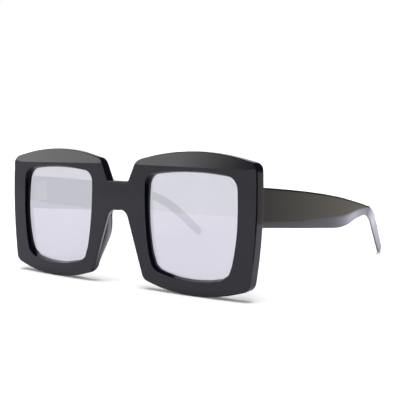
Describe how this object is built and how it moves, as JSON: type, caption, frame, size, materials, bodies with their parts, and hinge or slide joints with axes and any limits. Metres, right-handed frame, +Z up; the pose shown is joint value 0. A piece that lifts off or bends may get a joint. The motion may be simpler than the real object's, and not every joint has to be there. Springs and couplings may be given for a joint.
{
  "type": "sunglasses",
  "caption": "Oversized square sunglasses with a thick glossy front, bevelled brows, silver mirror lenses and wide folding temples",
  "frame": {"origin": "on the floor under the middle of the glasses, halfway between the front face and the temple tips and on the plane of symmetry", "axes": "the front faces -Y and the open temples run back along +Y; +X is the wearer's left, which is the viewer's right; +Z is up, with rims and tips on Z = 0"},
  "size_m": [0.1482, 0.1552, 0.0629],
  "materials": {
    "black_acetate": "tumble-polished black acetate sheet, milled bevels",
    "mirror_lens": "tinted plastic lens with a silver flash mirror coat",
    "hinge_metal": "nickel silver, barrel polished",
    "screw_steel": "turned steel, slotted head",
    "core_wire": "drawn nickel silver wire"
  },
  "bodies": {
    "front": {"front_frame": "black_acetate", "left_lens": "mirror_lens", "right_lens": "mirror_lens", "left_nose_pad": "black_acetate", "right_nose_pad": "black_acetate", "left_front_leaf": "hinge_metal", "right_front_leaf": "hinge_metal", "left_hinge_screw": "screw_steel", "right_hinge_screw": "screw_steel"},
    "left_arm": {"left_temple": "black_acetate", "left_temple_leaf": "hinge_metal", "left_temple_core": "core_wire"},
    "right_arm": {"right_temple": "black_acetate", "right_temple_leaf": "hinge_metal", "right_temple_core": "core_wire"}
  },
  "joints": [
    {"name": "left_temple_fold", "type": "hinge", "parent": "front", "child": "left_arm", "pos_m": [0.0671, -0.06515, 0.0395], "axis": [0, 0, 1], "range_deg": [0, 89.5]},
    {"name": "right_temple_fold", "type": "hinge", "parent": "front", "child": "right_arm", "pos_m": [-0.0671, -0.06515, 0.0395], "axis": [0, 0, -1], "range_deg": [0, 77]}
  ]
}
